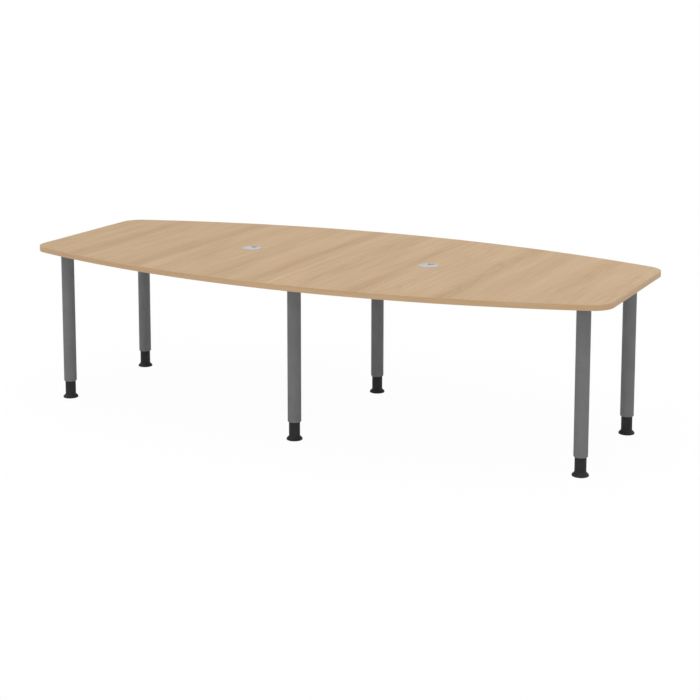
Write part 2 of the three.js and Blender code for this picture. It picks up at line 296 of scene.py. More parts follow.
oak_tree, oak_in, oak_out = new_group(
    "oak_grain", {"Place": "Vector"}, ["Bands", "Streaks", "Arches", "Pores", "Height"]
)
bend = grain_noise(oak_tree, oak_in.outputs["Place"], WANDER_STRETCH, detail=1.0)
bend = calculate(oak_tree, "MULTIPLY_ADD", bend, 2 * WANDER, -WANDER)
sideways = add(oak_tree, "CombineXYZ", {"X": bend}).outputs["Vector"]
oak_place = add(oak_tree, "VectorMath", {0: oak_in.outputs["Place"], 1: sideways}).outputs["Vector"]
bands = grain_noise(oak_tree, oak_place, BAND_STRETCH)
streaks = grain_noise(oak_tree, oak_place, STREAK_STRETCH)
fibres = grain_noise(oak_tree, oak_place, FIBRE_STRETCH, detail=3.0)
pores = remap(oak_tree, grain_noise(oak_tree, oak_place, PORE_STRETCH), *PORE_RANGE, 0.0, 1.0)
thin = calculate(oak_tree, "MULTIPLY", fibres, FIBRE_SHARE)
fine = calculate(oak_tree, "MULTIPLY_ADD", streaks, STREAK_SHARE, thin)
height = calculate(oak_tree, "MULTIPLY_ADD", pores, -PORE_DEPTH, fibres)
for socket, value in {"Bands": bands, "Streaks": fine, "Pores": pores, "Height": height}.items():
    oak_tree.links.new(value, oak_out.inputs[socket])
print("group:", oak_tree.name)

# %% [markdown]
# Where a board is sawn off-centre, the growth rings come out as pointed arches, one inside the other. They
# are the level lines of a slope that rises along the board and falls off to its sides, so a parabola across
# each board, plus the place along it, gives their phase. A random number per board moves or hides them.

# %% Arches in the oak
BOARD_WIDTH = 0.21
ARCH_CURVE = 14.0
ARCHES_PER_METRE = 4.0
BOARD_SHIFT = 7.0
BAND_PULL = 2.5
LINE_RANGE = (0.2, 1.0)
ARCH_REACH = (0.2, 0.45)
LUCK_RANGE = (0.35, 0.65)

oak_parts = add(oak_tree, "SeparateXYZ", {"Vector": oak_place}).outputs
board = calculate(oak_tree, "DIVIDE", oak_parts["X"], BOARD_WIDTH)
board_number = calculate(oak_tree, "FLOOR", board, 0.0)
luck = add(oak_tree, "TexWhiteNoise", {"W": board_number}, noise_dimensions="1D").outputs["Value"]
across = calculate(oak_tree, "SUBTRACT", calculate(oak_tree, "FRACT", board, 0.0), 0.5)
curve = calculate(oak_tree, "MULTIPLY", calculate(oak_tree, "MULTIPLY", across, across), ARCH_CURVE)
phase = calculate(oak_tree, "MULTIPLY_ADD", oak_parts["Y"], ARCHES_PER_METRE, curve)
phase = calculate(oak_tree, "MULTIPLY_ADD", luck, BOARD_SHIFT, phase)
phase = calculate(oak_tree, "MULTIPLY_ADD", bands, BAND_PULL, phase)
rings = calculate(oak_tree, "SINE", calculate(oak_tree, "MULTIPLY", phase, math.tau), 0.0)
lines = remap(oak_tree, rings, *LINE_RANGE, 0.0, 1.0)
side = calculate(oak_tree, "ABSOLUTE", across, 0.0)
inside = remap(oak_tree, side, *ARCH_REACH, 1.0, 0.0)
chosen = remap(oak_tree, luck, *LUCK_RANGE, 0.0, 1.0)
arches = calculate(oak_tree, "MULTIPLY", lines, calculate(oak_tree, "MULTIPLY", inside, chosen))
oak_tree.links.new(arches, oak_out.inputs["Arches"])
print("boards of", BOARD_WIDTH, "m")

# %% [markdown]
# ## Finish: oak decor
#
# The top is a board faced with a printed oak decor under a thin clear coat of resin. The print has dark
# stripes that run across the table. The ground under them is painted paler to the right: painted light and
# sheen, standing in for the stronger light at that end. The stripes' places along the length are set one by
# one on a colour ramp, and the oak group adds the grain between them. The coat is satin, and catches the
# light at low angles. Below, such boards have a plain pale sheet that keeps them from warping: the height on
# the object tells the two faces apart, so one material does both.
#
# Each half of the top is cut from a sheet of its own, so the grain breaks off at the joint. The sign of X
# tells the halves apart: it shifts the place that the oak group gets, and makes the ground lighter in a
# narrow band on the left of the joint and darker in one on its right.

# %% Oak decor material
HALF_LENGTH = 1.4
MIDDLE_TONE = 0.49
# painted light: the ground's tone rises by this much per metre to the right, standing in for stronger light
# and sheen there
PAINTED_LIGHT_PER_METRE = 0.11
STRIPE_REACH = 0.075
DARK_STRIPES = {
    -1.10: 0.27,
    -0.73: 0.33,
    -0.57: 0.13,
    -0.33: 0.15,
    -0.10: 0.32,
    0.15: 0.14,
    0.38: 0.32,
    0.76: 0.34,
    0.92: 0.14,
    1.15: 0.22,
}
LIGHT_OAK = screen(203, 176, 140)
DARK_OAK = screen(176, 144, 107)
PORE_OAK = screen(150, 117, 82)
BACKING = screen(206, 206, 204)
BACKING_FLECK = screen(192, 191, 188)
BOARD_MIDDLE = 0.728
SHEET_SHIFT = 1.7
JOINT_TONE = 0.2
JOINT_REACH = 0.03


def new_finish(name):
    """A material, its tree, its shader and the place on the object."""
    finish = bpy.data.materials.new(name + "_finish")
    finish.use_nodes = True
    tree = finish.node_tree
    return finish, tree, tree.nodes["Principled BSDF"], add(tree, "TexCoord").outputs["Object"]


def bump(tree, shader, height, strength, depth):
    """Links a height to the shader's normal."""
    made = add(tree, "Bump", {"Height": height, "Strength": strength, "Distance": depth})
    tree.links.new(made.outputs["Normal"], shader.inputs["Normal"])


def set_tone(stop, x, drop):
    """Gives a stop of the ramp the tone of the ground at a place along the table, with its painted light that
    pales it to the right, less a drop.
    """
    tone = MIDDLE_TONE + PAINTED_LIGHT_PER_METRE * x - drop
    stop.color = (tone, tone, tone, 1)


oak_decor, tree, shader, place = new_finish("oak_decor")
sides = add(tree, "SeparateXYZ", {"Vector": place}).outputs
share = remap(tree, sides["X"], -HALF_LENGTH, HALF_LENGTH, 0.0, 1.0)
boards = add(tree, "ValToRGB", {"Fac": share})
boards.color_ramp.interpolation = "EASE"
for end, stop in zip((-HALF_LENGTH, HALF_LENGTH), boards.color_ramp.elements):
    set_tone(stop, end, 0.0)
for middle, depth in DARK_STRIPES.items():
    for x, drop in ((middle - STRIPE_REACH, 0.0), (middle, depth), (middle + STRIPE_REACH, 0.0)):
        stop = boards.color_ramp.elements.new((x + HALF_LENGTH) / (2 * HALF_LENGTH))
        set_tone(stop, x, drop)
print("stops on the ramp:", len(boards.color_ramp.elements))

# %% Oak decor at the joint
half = calculate(tree, "SIGN", sides["X"], 0.0)
sheet_shift = calculate(tree, "MULTIPLY", half, SHEET_SHIFT)
sheet_shift = add(tree, "CombineXYZ", {"Y": sheet_shift}).outputs["Vector"]
sheet_place = add(tree, "VectorMath", {0: place, 1: sheet_shift}).outputs["Vector"]
oak = add(tree, "Group", {"Place": sheet_place}, node_tree=oak_tree).outputs
from_joint = calculate(tree, "ABSOLUTE", sides["X"], 0.0)
joint_band = remap(tree, from_joint, 0.0, JOINT_REACH, JOINT_TONE, 0.0)
ground = calculate(tree, "SUBTRACT", boards.outputs["Color"], calculate(tree, "MULTIPLY", joint_band, half))
print("grain shifts by", 2 * SHEET_SHIFT, "m at the joint")

# %% Oak decor colour and coat
BAND_TONE = 0.7
STREAK_TONE = 1.0
ARCH_TONE = 0.14
PORE_TONE = 0.35
SHEET_FINENESS = 1400.0
GRAIN_RANGE = (0.3, 0.7)
DECOR_GLOSS = (0.64, 0.56)
DECOR_SHINE = 0.35
DECOR_RELIEF = 0.25
GRAIN_DEPTH = 0.0002

grain = calculate(tree, "MULTIPLY_ADD", oak["Bands"], BAND_TONE, -BAND_TONE / 2)
figure = calculate(tree, "ADD", ground, grain)
streaks = calculate(tree, "MULTIPLY_ADD", oak["Streaks"], STREAK_TONE, -STREAK_TONE / 2)
figure = calculate(tree, "ADD", figure, streaks)
figure = calculate(tree, "MULTIPLY_ADD", oak["Arches"], -ARCH_TONE, figure)
wood = mix_colours(tree, figure, DARK_OAK, LIGHT_OAK)
pore_share = calculate(tree, "MULTIPLY", oak["Pores"], PORE_TONE)
wood = mix_colours(tree, pore_share, wood, PORE_OAK)
texture = add(tree, "Group", {"Place": place, "Fineness": SHEET_FINENESS}, node_tree=texture_tree).outputs
sheet = mix_colours(tree, texture["Mottle"], BACKING_FLECK, BACKING)
below = calculate(tree, "LESS_THAN", sides["Z"], BOARD_MIDDLE)
tree.links.new(mix_colours(tree, below, wood, sheet), shader.inputs["Base Color"])
tree.links.new(remap(tree, oak["Streaks"], *GRAIN_RANGE, *DECOR_GLOSS), shader.inputs["Roughness"])
shader.inputs["Specular IOR Level"].default_value = DECOR_SHINE
bump(tree, shader, oak["Height"], DECOR_RELIEF, GRAIN_DEPTH)
print("finish:", oak_decor.name)

# %% [markdown]
# ## Finish: oak edging
#
# The rim is a strip of solid plastic, two millimetres thick, printed to match. Its grain runs along the
# strip, round the whole table, so here the lines follow the height and hardly change along the way. Swapping
# the axes before the oak group does that. Its rounded arris is rubbed a little paler.

# %% Oak edging material
EDGE_LIGHT = screen(196, 164, 126)
EDGE_DARK = screen(174, 141, 103)
EDGE_RUBBED = screen(206, 178, 144)
EDGE_CONTRAST = 1.6
EDGE_WEAR = 0.4
EDGE_GLOSS = (0.56, 0.48)
EDGE_SHINE = 0.42
EDGE_RELIEF = 0.2

oak_edging, tree, shader, place = new_finish("oak_edging")
parts = add(tree, "SeparateXYZ", {"Vector": place}).outputs
round_way = calculate(tree, "ADD", parts["X"], parts["Y"])
strip_place = add(tree, "CombineXYZ", {"X": parts["Z"], "Y": round_way, "Z": 0.0}).outputs["Vector"]
oak = add(tree, "Group", {"Place": strip_place}, node_tree=oak_tree).outputs
lines = calculate(tree, "MULTIPLY_ADD", oak["Streaks"], EDGE_CONTRAST, 0.5 - EDGE_CONTRAST / 2)
strip = mix_colours(tree, lines, EDGE_DARK, EDGE_LIGHT)
edge = add(tree, "Attribute", attribute_name="rubbed").outputs["Fac"]
wear_inputs = {"Place": place, "Edge": edge, "Amount": EDGE_WEAR}
rubbed = add(tree, "Group", wear_inputs, node_tree=rub_tree).outputs["Mask"]
tree.links.new(mix_colours(tree, rubbed, strip, EDGE_RUBBED), shader.inputs["Base Color"])
tree.links.new(remap(tree, oak["Streaks"], *GRAIN_RANGE, *EDGE_GLOSS), shader.inputs["Roughness"])
shader.inputs["Specular IOR Level"].default_value = EDGE_SHINE
bump(tree, shader, oak["Height"], EDGE_RELIEF, GRAIN_DEPTH)
print("finish:", oak_edging.name)

# %% [markdown]
# ## Finishes: paint and plastic
#
# The legs are powder-coated grey, the feet are black moulded plastic, the outlets silver-grey plastic with a
# fine sparkle, and the bushes inside the legs plain dark plastic. They differ in colour, gloss and fineness
# and are built alike, so one function makes them from the two shared groups.

# %% Coated and moulded finishes
SKIN_DEPTH = 0.0003


def coated(name, dark, light, worn, gloss, shine, fineness, skin, wear):
    """A finish with a mottled colour, a fine skin and rubbed edges. Gloss is its range of roughness."""
    finish, tree, shader, place = new_finish(name)
    shader.inputs["Specular IOR Level"].default_value = shine
    texture = add(tree, "Group", {"Place": place, "Fineness": fineness}, node_tree=texture_tree).outputs
    colour = mix_colours(tree, texture["Mottle"], dark, light)
    edge = add(tree, "Attribute", attribute_name="rubbed").outputs["Fac"]
    rubbed = add(tree, "Group", {"Place": place, "Edge": edge, "Amount": wear}, node_tree=rub_tree)
    colour = mix_colours(tree, rubbed.outputs["Mask"], colour, worn)
    tree.links.new(colour, shader.inputs["Base Color"])
    tree.links.new(remap(tree, texture["Mottle"], 0.0, 1.0, *gloss), shader.inputs["Roughness"])
    bump(tree, shader, texture["Height"], skin, SKIN_DEPTH)
    print("finish:", name)
    return finish


grey_paint = coated(
    "grey_paint", screen(106, 106, 106), screen(111, 111, 111), screen(128, 128, 128),
    gloss=(0.7, 0.6), shine=0.3, fineness=420.0, skin=0.12, wear=0.35,
)
black_plastic = coated(
    "black_plastic", screen(27, 27, 28), screen(33, 33, 34), screen(46, 46, 46),
    gloss=(0.72, 0.62), shine=0.25, fineness=900.0, skin=0.25, wear=0.3,
)
silver_plastic = coated(
    "silver_plastic", screen(174, 172, 172), screen(184, 182, 182), screen(202, 200, 200),
    gloss=(0.45, 0.36), shine=0.5, fineness=1500.0, skin=0.15, wear=0.5,
)
dark_plastic = coated(
    "dark_plastic", screen(46, 46, 47), screen(54, 54, 55), screen(74, 74, 74),
    gloss=(0.66, 0.56), shine=0.4, fineness=700.0, skin=0.2, wear=0.3,
)

# %% [markdown]
# ## Finish: zinc
#
# The screws are steel with a thin coat of zinc, which is metal all over and shows patches of a slightly
# yellow and a slightly blue grey. Noise mixes the two, and its bumps keep the reflections soft.

# %% Zinc material
BLUE_ZINC = screen(172, 176, 182)
YELLOW_ZINC = screen(196, 192, 180)
ZINC_FINENESS = 2500.0
ZINC_GLOSS = (0.42, 0.3)
ZINC_RELIEF = 0.15
ZINC_DEPTH = 0.0001

zinc_steel, tree, shader, place = new_finish("zinc_steel")
shader.inputs["Metallic"].default_value = 1.0
texture = add(tree, "Group", {"Place": place, "Fineness": ZINC_FINENESS}, node_tree=texture_tree).outputs
zinc = mix_colours(tree, texture["Mottle"], BLUE_ZINC, YELLOW_ZINC)
tree.links.new(zinc, shader.inputs["Base Color"])
tree.links.new(remap(tree, texture["Mottle"], 0.0, 1.0, *ZINC_GLOSS), shader.inputs["Roughness"])
bump(tree, shader, texture["Height"], ZINC_RELIEF, ZINC_DEPTH)

finishes = {
    "oak_decor": oak_decor,
    "oak_edging": oak_edging,
    "grey_paint": grey_paint,
    "black_plastic": black_plastic,
    "silver_plastic": silver_plastic,
    "dark_plastic": dark_plastic,
    "zinc_steel": zinc_steel,
}
print("finishes:", ", ".join(finishes))

# %% [markdown]
# ## Making pieces
#
# Most pieces are turned, as on a lathe: a profile of a few points is drawn, its corners are rounded while it
# is still a line, and a spin sweeps it round. Rounding the line is quicker and cleaner than bevelling the
# finished shape. Shapes are drawn in millimetres round the origin, then scaled and moved in the mesh itself,
# so every object stays at the origin. A Weighted Normal modifier keeps broad faces flat beside roundings.
#
# Operators leave the parts of a shape in an order that varies from run to run. Sorting them by place makes
# the mesh the same each time.

# %% Shaping helpers
UP = (0, 0, 1)
NO_MOVE = (0, 0, 0)
ROUND_STEPS = 5
RIM_STEPS = 4
SHARP_ANGLE = math.radians(34)
MERGE_DISTANCE = 0.001
PLACE_DIGITS = 4


def verts_of(geometry):
    """The vertices in what an operator returns."""
    return [g for g in geometry if isinstance(g, bmesh.types.BMVert)]


def edges_of(geometry):
    """The edges in what an operator returns."""
    return [g for g in geometry if isinstance(g, bmesh.types.BMEdge)]


def is_level(edge):
    """True for an edge that lies level."""
    return edge.verts[0].co.z == edge.verts[1].co.z


def new_shape():
    """An empty bmesh that can mark rubbed edges."""
    bm = bmesh.new()
    bm.verts.layers.float.new("rubbed")
    return bm


def renumber(parts, key):
    """Puts the vertices, edges or faces of a shape in the order of a key."""
    for index, part in enumerate(sorted(parts, key=key)):
        part.index = index
    parts.sort()


def settle_order(bm):
    """Sorts the vertices of a shape by place, and its edges and faces by their vertices."""
    renumber(bm.verts, lambda vert: [round(c, PLACE_DIGITS) for c in vert.co])
    for parts in (bm.edges, bm.faces):
        renumber(parts, lambda part: sorted(vert.index for vert in part.verts))


def draw_to_level(bm, loop, level):
    """Draws a level loop of edges up or down into a wall, and returns the wall's other end."""
    drawn = bmesh.ops.extrude_edge_only(bm, edges=loop)["geom"]
    ends = set(verts_of(drawn))
    bmesh.ops.translate(bm, vec=(0, 0, level - loop[0].verts[0].co.z), verts=list(ends))
    return [edge for edge in edges_of(drawn) if ends.issuperset(edge.verts)]


def round_corner(bm, point, offset):
    """Rounds one point of a profile, and marks the middle of the rounding as rubbed."""
    made = bmesh.ops.bevel(
        bm, geom=[point], offset=offset, segments=ROUND_STEPS, profile=0.5, affect="VERTICES", material=-1
    )
    rubbed = bm.verts.layers.float["rubbed"]
    arc = set(made["edges"])
    for vert in made["verts"]:
        if arc.issuperset(vert.link_edges):
            vert[rubbed] = 1.0


def round_rim(bm, rim, offset, steps=RIM_STEPS):
    """Rounds the edges round a face, and marks the middle of the rounding as rubbed."""
    made = bmesh.ops.bevel(
        bm, geom=rim, offset=offset, segments=steps, profile=0.5, affect="EDGES", material=-1
    )
    rubbed = bm.verts.layers.float["rubbed"]
    arc = set(made["faces"])
    for vert in made["verts"]:
        if arc.issuperset(vert.link_faces):
            vert[rubbed] = 1.0


def turned(corners, sides, closed=True):
    """A shape turned about Z. Each corner gives a radius, a level and, if it is round, its rounding."""
    bm = new_shape()
    points = [bm.verts.new((radius, 0, level)) for radius, level, *_ in corners]
    for start, end in zip(points, points[1:]):
        bm.edges.new((start, end))
    if closed:
        bm.edges.new((points[-1], points[0]))
    for point, (_, _, *rounding) in zip(points, corners):
        if rounding:
            round_corner(bm, point, rounding[0])
    profile = bm.verts[:] + bm.edges[:]
    bmesh.ops.spin(
        bm, geom=profile, cent=NO_MOVE, axis=UP, dvec=NO_MOVE, angle=math.tau, steps=sides, use_merge=True
    )
    bmesh.ops.remove_doubles(bm, verts=bm.verts, dist=MERGE_DISTANCE)
    settle_order(bm)
    return bm


print("roundings have", ROUND_STEPS, "steps")

# %% [markdown]
# A finished piece takes the name of its maker's part, its finish, the body it rides on, and the solid that it
# stands for, which it hides. One function does all of this, so no piece is left riding on nothing.

# %% Finishing a piece
def make_piece(bm, name, finish, body, node, place=(0, 0)):
    """Turns a shape in millimetres into a finished piece at its place."""
    settle_order(bm)
    bmesh.ops.recalc_face_normals(bm, faces=bm.faces)
    bmesh.ops.scale(bm, vec=(MM, MM, MM), verts=bm.verts)
    bmesh.ops.translate(bm, vec=(place[0], place[1], 0), verts=bm.verts)
    mesh = bpy.data.meshes.new(name)
    bm.to_mesh(mesh)
    bm.free()
    mesh.shade_smooth()
    mesh.set_sharp_from_angle(angle=SHARP_ANGLE)
    mesh.materials.append(finishes[finish])
    piece = bpy.data.objects.new(name, mesh)
    scene.collection.objects.link(piece)
    flat = piece.modifiers.new("broad faces", "WEIGHTED_NORMAL")
    flat.keep_sharp = True
    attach(piece, body)
    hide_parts(node)
    return piece


def middle_of(node):
    """The middle of a solid, seen from above."""
    low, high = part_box(node)
    return (low.x + high.x) / 2, (low.y + high.y) / 2


LEGS = [f"{row}_{place}" for place in ("left", "middle", "right") for row in ("front", "back")]
SIDES = ["left", "right"]
leg_places = {leg: middle_of(f"foot_{leg}") for leg in LEGS}
outlet_places = {side: middle_of(f"outlet_sleeve_{side}") for side in SIDES}
print("legs:", {leg: (round(x, 3), round(y, 3)) for leg, (x, y) in leg_places.items()})

# %% [markdown]
# ## The top
#
# The outline is a boat: straight ends, corners of 100 mm, and each long side one arc of about four metres
# radius. The top is too long for one sheet with its grain across, so it is in two halves that meet over the
# middle legs. A vertex is walked along a quarter of the outline, straight up half the end and then by two
# spins about the centres of the arcs. A mirror makes that the right half, still open at the joint, and half
# a turn about Z makes the right half the left one. That keeps every arc exact with no list of points.

# %% Outline of the top
LENGTH = 2800
MIDDLE_WIDTH = 1300
END_WIDTH = 800
CORNER_RADIUS = 100
CORNER_STEPS = 14
SIDE_STEPS = 60
JOINT_GAP = 0.3
HALF_TURNS = {"left": math.pi, "right": 0.0}

rise = (MIDDLE_WIDTH - END_WIDTH) / 2
side_radius = LENGTH**2 / 8 / rise + rise / 2
side_y = MIDDLE_WIDTH / 2 - side_radius
corner_x = LENGTH / 2 - CORNER_RADIUS
corner_y = side_y + math.sqrt((side_radius - CORNER_RADIUS) ** 2 - corner_x**2)
corner_turn = math.atan2(corner_y - side_y, corner_x)


def walk_arc(bm, vert, centre, angle, steps):
    """Walks a vertex along an arc and returns its last place."""
    made = bmesh.ops.spin(bm, geom=[vert], cent=centre, axis=UP, dvec=NO_MOVE, angle=angle, steps=steps)
    return verts_of(made["geom_last"])[0]


def half_outline(bm, inset, level):
    """The right half of the outline, drawn in by an inset and open at the joint. Returns its edges."""
    before = set(bm.edges)
    start = bm.verts.new((LENGTH / 2 - inset, 0, level))
    corner = bmesh.ops.extrude_vert_indiv(bm, verts=[start])["verts"][0]
    bmesh.ops.translate(bm, vec=(0, corner_y, 0), verts=[corner])
    side = walk_arc(bm, corner, (corner_x, corner_y, level), corner_turn, CORNER_STEPS)
    joint = walk_arc(bm, side, (0, side_y, level), math.pi / 2 - corner_turn, SIDE_STEPS)
    bmesh.ops.translate(bm, vec=(JOINT_GAP / 2, 0, 0), verts=[joint])
    quarter = [edge for edge in bm.edges if edge not in before]
    points = {vert for edge in quarter for vert in edge.verts}
    bmesh.ops.mirror(bm, geom=[*points, *quarter], matrix=Matrix(), merge_dist=MERGE_DISTANCE, axis="Y")
    return [edge for edge in bm.edges if edge not in before]


def make_half(bm, name, finish, node, side):
    """Turns a shape of the right half to its side, and makes a piece of it."""
    half_turn = Matrix.Rotation(HALF_TURNS[side], 3, "Z")
    bmesh.ops.rotate(bm, cent=NO_MOVE, matrix=half_turn, verts=bm.verts)
    return make_piece(bm, f"{name}_{side}", finish, "table", f"{node}_{side}")


print("side arc:", round(side_radius), "mm, corner turns", round(math.degrees(corner_turn), 1), "degrees")

# %% [markdown]
# ### The panels
#
# A half's panel is its outline less the edging, closed along the joint, with a hole for the outlet. Filling
# the loop with its hole and extruding it gives the board. Its upper and lower edges get a hairline chamfer,
# so that the joints with the edging and with the other half show as fine lines, as they do on a real top.

# %% Panels
HEIGHT = 740
TOP_THICKNESS = 25
EDGE_BAND = 2
OUTLET_HOLE = 80
OUTLET_SIDES = 96
HAIRLINE = 0.15
RIM_ANGLE = math.radians(60)
underside = HEIGHT - TOP_THICKNESS
hole_x, hole_y = outlet_places["right"]

for side in SIDES:
    panel = new_shape()
    half_outline(panel, EDGE_BAND, underside)
    panel.edges.new([vert for vert in panel.verts if len(vert.link_edges) == 1])
    hole_place = Matrix.Translation((hole_x / MM, hole_y / MM, underside))
    bmesh.ops.create_circle(panel, radius=OUTLET_HOLE / 2, segments=OUTLET_SIDES, matrix=hole_place)
    bmesh.ops.triangle_fill(panel, use_beauty=True, edges=panel.edges)
    raised = bmesh.ops.extrude_face_region(panel, geom=panel.faces[:])
    bmesh.ops.translate(panel, vec=(0, 0, TOP_THICKNESS), verts=verts_of(raised["geom"]))
    rims = [edge for edge in panel.edges if edge.calc_face_angle(0) > RIM_ANGLE and is_level(edge)]
    bmesh.ops.bevel(panel, geom=rims, offset=HAIRLINE, segments=1, profile=0.5, affect="EDGES", material=-1)
    oak_panel = make_half(panel, "oak_panel", "oak_decor", "table_top", side)
    print(oak_panel.name, "has", len(oak_panel.data.polygons), "faces")

# %% [markdown]
# ### The edging
#
# The strip round a half is drawn up from two outlines, an outer and an inner, bridged between them above and
# below, and closed where it ends at the joint. Its two outer edges are rounded as an edging machine does it.

# %% Edging
ARRIS = 1.4

for side in SIDES:
    edging = new_shape()
    outer = half_outline(edging, 0, underside)
    inner = half_outline(edging, EDGE_BAND, underside)
    outer_top = draw_to_level(edging, outer, HEIGHT)
    inner_top = draw_to_level(edging, inner, HEIGHT)
    bmesh.ops.bridge_loops(edging, edges=outer + inner)
    bmesh.ops.bridge_loops(edging, edges=outer_top + inner_top)
    bmesh.ops.holes_fill(edging, edges=edging.edges)
    bmesh.ops.recalc_face_normals(edging, faces=edging.faces)
    round_rim(edging, outer + outer_top, ARRIS)
    oak_edge = make_half(edging, "oak_edge", "oak_edging", "edge_band", side)
    print(oak_edge.name, "has", len(oak_edge.data.polygons), "faces")

# %% [markdown]
# ## The cable outlets
#
# Each outlet is a flanged sleeve pressed into the hole, an insert that lies on a ledge inside it, and a lid
# that turns on the insert's pin to open or close the mouth for cables. The sleeve is turned.

# %% Sleeves
FLANGE_TOP = 742
FLANGE_RADIUS = 45
SLEEVE_RADIUS = 39.8
SEAT_RADIUS = 37.8
SLEEVE_BORE = 35.4
SLEEVE_BOTTOM = 718
LEDGE = 736.25

for side in SIDES:
    sleeve = turned(
        [
            (SLEEVE_RADIUS, SLEEVE_BOTTOM, 0.4),
            (SLEEVE_RADIUS, HEIGHT),
            (FLANGE_RADIUS, HEIGHT, 0.2),
            (FLANGE_RADIUS, FLANGE_TOP, 1.2),
            (SEAT_RADIUS, FLANGE_TOP, 0.35),
            (SEAT_RADIUS, LEDGE),
            (SLEEVE_BORE, LEDGE, 0.3),
            (SLEEVE_BORE, SLEEVE_BOTTOM, 0.4),
        ],
        OUTLET_SIDES,
    )
    node = f"outlet_sleeve_{side}"
    make_piece(sleeve, f"sleeve_{side}", "silver_plastic", "table", node, outlet_places[side])
print("sleeves:", len(SIDES))

# %% [markdown]
# The insert and the lid are discs with the same mouth, a slot with a half-round end that is open at the rim.
# Their outline is walked like the top's: most of a circle, in along the slot, round its end and back. One
# face has a circle at its centre that is drawn up, to a pin on the insert and to the pin's bore in the lid.

# %% Mouthed discs
LID_RADIUS = 37.5
LID_TOP = 741.75
LID_BOTTOM = 738.25
PIN_TOP = 740
BORE_TOP = 740.3
PIN_RADIUS = 4
BORE_RADIUS = 4.3
MOUTH_HALF = 14
MOUTH_CENTRE = 21
MOUTH_STEPS = 24
PIN_SIDES = 32
INSERT_EDGE = 0.25
INSERT_STEPS = 2
LID_EDGE = 0.6


def mouthed_disc(near, far, centre_radius, centre_level):
    """A disc with a mouth, from the level of its face with the centre circle to that of its plain face."""
    bm = new_shape()
    mouth_depth = math.sqrt(LID_RADIUS**2 - MOUTH_HALF**2)
    mouth_angle = math.atan2(MOUTH_HALF, mouth_depth)
    start = bm.verts.new((MOUTH_HALF, mouth_depth, near))
    across = walk_arc(bm, start, (0, 0, near), 2 * mouth_angle - math.tau, OUTLET_SIDES)
    inward = bmesh.ops.extrude_vert_indiv(bm, verts=[across])["verts"][0]
    bmesh.ops.translate(bm, vec=(0, MOUTH_CENTRE - mouth_depth, 0), verts=[inward])
    back = walk_arc(bm, inward, (0, MOUTH_CENTRE, near), math.pi, MOUTH_STEPS)
    bm.edges.new((back, start))
    outline = bm.edges[:]
    level = Matrix.Translation((0, 0, near))
    bmesh.ops.create_circle(bm, radius=centre_radius, segments=PIN_SIDES, matrix=level)
    circle = [edge for edge in bm.edges if edge not in outline]
    bmesh.ops.triangle_fill(bm, use_beauty=True, edges=bm.edges)
    far_rim = draw_to_level(bm, outline, far)
    bmesh.ops.contextual_create(bm, geom=far_rim)
    bmesh.ops.contextual_create(bm, geom=draw_to_level(bm, circle, centre_level))
    return bm, far_rim, outline


for side in SIDES:
    insert, _, near_rim = mouthed_disc(LID_BOTTOM, LEDGE, PIN_RADIUS, PIN_TOP)
    round_rim(insert, near_rim, INSERT_EDGE, INSERT_STEPS)
    body = f"outlet_insert_{side}"
    make_piece(insert, f"insert_{side}", "silver_plastic", body, body, outlet_places[side])
    lid, far_rim, _ = mouthed_disc(LID_BOTTOM, LID_TOP, BORE_RADIUS, BORE_TOP)
    round_rim(lid, far_rim, LID_EDGE)
    body = f"outlet_lid_{side}"
    make_piece(lid, f"lid_{side}", "silver_plastic", body, body, outlet_places[side])
print("inserts and lids:", 2 * len(SIDES))

# %% [markdown]
# ## The legs
#
# A leg is a steel tube, 60 mm across. Its lower end is rolled in to a lip that hides the guide bush, and a
# weld joins its upper end to a round plate. The rolled end and the weld are roundings of the turned profile.
# The hole for the clamp screw can't be turned, so a Boolean modifier drills it, and its result is kept.

# %% Leg tubes
TUBE_RADIUS = 30
TUBE_BORE = 28
LIP_BORE = 26.5
TUBE_TOP = 710
TUBE_END = 81
LIP_TOP = 83
WELD = 4
LEG_SIDES = 72
CLAMP_LEVEL = 113
CLAMP_HOLE = 3.2
HOLE_BAND = 5
DRILL_SIDES = 32


def drill(bm, radius, level):
    """Drills a hole into the back of a turned wall. The shape and the drill are objects for a moment."""
    bit = bmesh.new()
    bmesh.ops.create_cone(
        bit, cap_ends=True, segments=DRILL_SIDES, radius1=radius, radius2=radius, depth=TUBE_RADIUS
    )
    bmesh.ops.rotate(bit, cent=NO_MOVE, matrix=Matrix.Rotation(math.pi / 2, 3, "X"), verts=bit.verts)
    bmesh.ops.translate(bit, vec=(0, TUBE_RADIUS, level), verts=bit.verts)
    holders = []
    for name, shape in {"wall": bm, "bit": bit}.items():
        bmesh.ops.recalc_face_normals(shape, faces=shape.faces)
        mesh = bpy.data.meshes.new(name)
        shape.to_mesh(mesh)
        holders.append(bpy.data.objects.new(name, mesh))
        scene.collection.objects.link(holders[-1])
    wall, drill_bit = holders
    hole = wall.modifiers.new("hole", "BOOLEAN")
    hole.object = drill_bit
    bpy.context.view_layer.update()
    drilled = bpy.data.meshes.new_from_object(wall.evaluated_get(bpy.context.evaluated_depsgraph_get()))
    bm.clear()
    bm.from_mesh(drilled)
    bmesh.ops.remove_doubles(bm, verts=bm.verts, dist=MERGE_DISTANCE)
    bit.free()
    for holder in holders:
        bpy.data.objects.remove(holder)


